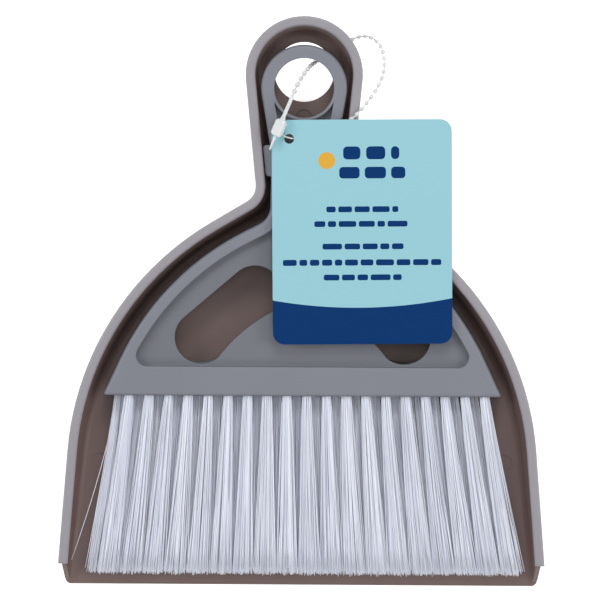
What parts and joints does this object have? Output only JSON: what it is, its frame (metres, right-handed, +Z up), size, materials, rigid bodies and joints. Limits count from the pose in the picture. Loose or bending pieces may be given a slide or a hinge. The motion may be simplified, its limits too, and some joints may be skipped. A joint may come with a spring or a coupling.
{
  "type": "dustpan and brush",
  "caption": "Small dustpan with a whisk brush nested face up in it, both with ringed handles, held together by a beaded plastic loop that also carries a card hang tag.",
  "frame": {"origin": "on the ground under the middle of the pan, measured without the tag loop and its lock", "axes": "+Z up, away from the surface the pan lies on; +Y from the lip towards the handles; +X to the right seen from above with the handles away"},
  "size_m": [0.2216, 0.2578, 0.036],
  "materials": {
    "pan_plastic": "satin moulded polypropylene, warm grey brown",
    "rim_plastic": "soft overmoulded band, satin light grey",
    "brush_plastic": "satin moulded polypropylene, cool grey",
    "bristle": "fine flagged white filament",
    "tag_card": "coated card, printed light teal above a navy band",
    "clear_plastic": "translucent nylon",
    "anchor_metal": "flat drawn wire"
  },
  "bodies": {
    "pan": {"pan_tray": "pan_plastic", "pan_rim": "rim_plastic"},
    "brush": {"brush_body": "brush_plastic", "loop_lock": "clear_plastic", "tag_loop": "clear_plastic", "tuft_anchors_front": "anchor_metal", "tuft_anchors_back": "anchor_metal", "tuft_back_01": "bristle", "tuft_back_02": "bristle", "tuft_back_03": "bristle", "tuft_back_04": "bristle", "tuft_back_05": "bristle", "tuft_back_06": "bristle", "tuft_back_07": "bristle", "tuft_back_08": "bristle", "tuft_back_09": "bristle", "tuft_back_10": "bristle", "tuft_back_11": "bristle", "tuft_back_12": "bristle", "tuft_back_13": "bristle", "tuft_back_14": "bristle", "tuft_back_15": "bristle", "tuft_back_16": "bristle", "tuft_back_17": "bristle", "tuft_back_18": "bristle", "tuft_back_19": "bristle", "tuft_front_01": "bristle", "tuft_front_02": "bristle", "tuft_front_03": "bristle", "tuft_front_04": "bristle", "tuft_front_05": "bristle", "tuft_front_06": "bristle", "tuft_front_07": "bristle", "tuft_front_08": "bristle", "tuft_front_09": "bristle", "tuft_front_10": "bristle", "tuft_front_11": "bristle", "tuft_front_12": "bristle", "tuft_front_13": "bristle", "tuft_front_14": "bristle", "tuft_front_15": "bristle", "tuft_front_16": "bristle", "tuft_front_17": "bristle", "tuft_front_18": "bristle", "tuft_front_19": "bristle"},
    "tag": {"hang_tag": "tag_card"}
  },
  "joints": [
    {"name": "brush_lift", "type": "slide", "parent": "pan", "child": "brush", "axis": [0, 0, 1], "range_m": [0, 0.02], "deforming": ["tag_loop"]},
    {"name": "tag_swing", "type": "hinge", "parent": "brush", "child": "tag", "pos_m": [-0.0066, 0.0737, 0.0313], "axis": [0, -0.1045, 0.9945], "range_deg": [-60, 15]}
  ]
}
